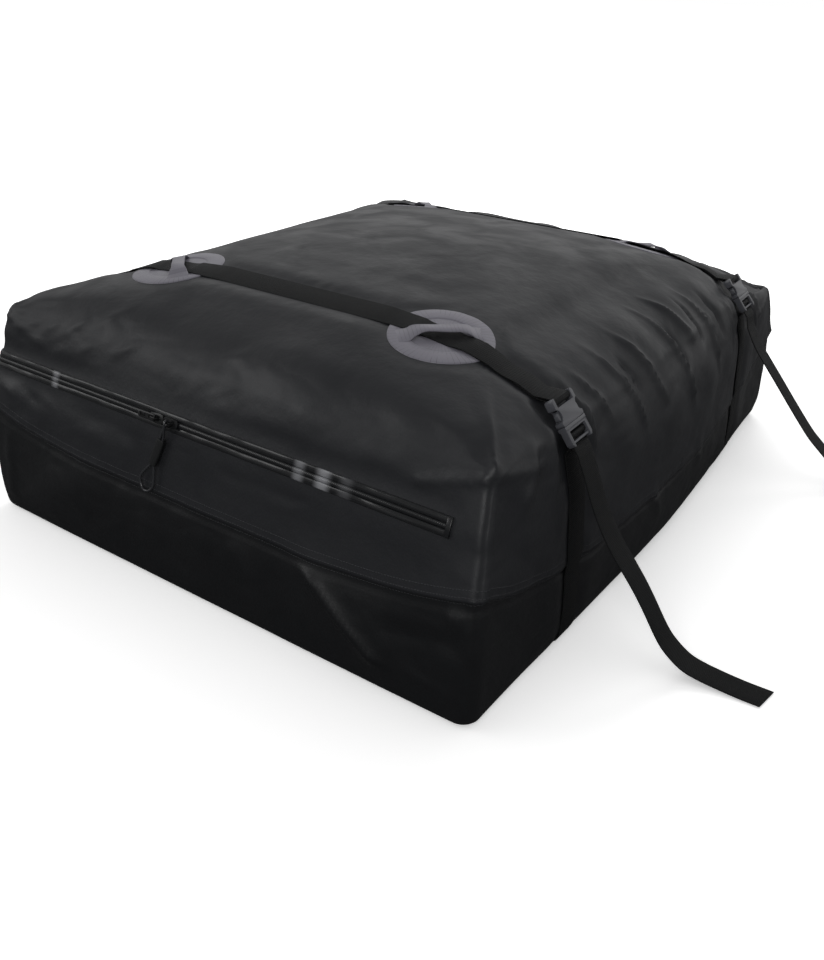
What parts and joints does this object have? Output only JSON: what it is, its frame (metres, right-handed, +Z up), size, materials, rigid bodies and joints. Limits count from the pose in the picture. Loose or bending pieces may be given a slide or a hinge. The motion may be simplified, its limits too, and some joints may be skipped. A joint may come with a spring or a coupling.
{
  "type": "roof cargo bag",
  "caption": "Soft black roof cargo bag packed full, with a long covered zip across one end, two cinch straps with side release buckles and round grey strap guides.",
  "frame": {"origin": "middle of the bag's footprint, on the face that it rests on", "axes": "+X to the right along the zipped end, towards the buckles; +Y from the zipped end to the far end; +Z up"},
  "size_m": [1.2087, 1.1403, 0.3968],
  "materials": {
    "coated_cloth": "black cloth with a satin waterproof coating",
    "zip_coating": "glossy black coated zip",
    "pull_rubber": "glossy black cord and moulded grip",
    "dark_metal": "black painted die cast metal",
    "grey_vinyl": "matt lilac grey vinyl",
    "webbing": "black woven webbing",
    "buckle_plastic": "dark grey moulded plastic with a soft gloss"
  },
  "bodies": {
    "bag": {"bag_body": "coated_cloth", "zip_tape_lower": "zip_coating", "zip_tape_upper": "zip_coating", "zip_chain": "zip_coating", "zip_end_right": "zip_coating", "zip_end_left": "zip_coating", "strap_guide_rear_right": "grey_vinyl", "strap_guide_rear_left": "grey_vinyl", "strap_guide_front_right": "grey_vinyl", "strap_guide_front_left": "grey_vinyl", "strap_rear_over": "webbing", "strap_rear_side": "webbing", "buckle_socket_rear": "buckle_plastic", "strap_front_over": "webbing", "strap_front_side": "webbing", "buckle_socket_front": "buckle_plastic"},
    "slider_right": {"zip_slider_right": "dark_metal"},
    "pull_right": {"pull_cord": "pull_rubber", "pull_grip": "pull_rubber"},
    "slider_left": {"zip_slider_left": "dark_metal"},
    "pull_left": {"zip_pull_tab": "dark_metal"},
    "plug_rear": {"buckle_plug_rear": "buckle_plastic", "strap_rear_tail": "webbing"},
    "plug_front": {"buckle_plug_front": "buckle_plastic", "strap_front_tail": "webbing"}
  },
  "joints": [
    {"name": "slider_right_slide", "type": "slide", "parent": "bag", "child": "slider_right", "axis": [1, 0, 0], "range_m": [0, 0.4]},
    {"name": "pull_right_swing", "type": "hinge", "parent": "slider_right", "child": "pull_right", "pos_m": [-0.0462, -0.5478, 0.24864], "axis": [-1, 0, 0], "range_deg": [0, 75]},
    {"name": "slider_left_slide", "type": "slide", "parent": "bag", "child": "slider_left", "axis": [-1, 0, 0], "range_m": [0, 0.3]},
    {"name": "pull_left_swing", "type": "hinge", "parent": "slider_left", "child": "pull_left", "pos_m": [-0.0718, -0.54519, 0.24763], "axis": [0, 0.3624, 0.932], "range_deg": [0, 60]},
    {"name": "plug_rear_release", "type": "slide", "parent": "bag", "child": "plug_rear", "axis": [0.6014, 0, -0.799], "range_m": [0, 0.022], "deforming": ["buckle_plug_rear", "strap_rear_side", "strap_rear_tail"]},
    {"name": "plug_front_release", "type": "slide", "parent": "bag", "child": "plug_front", "axis": [0.6421, 0, -0.7666], "range_m": [0, 0.022], "deforming": ["buckle_plug_front", "strap_front_side", "strap_front_tail"]}
  ]
}
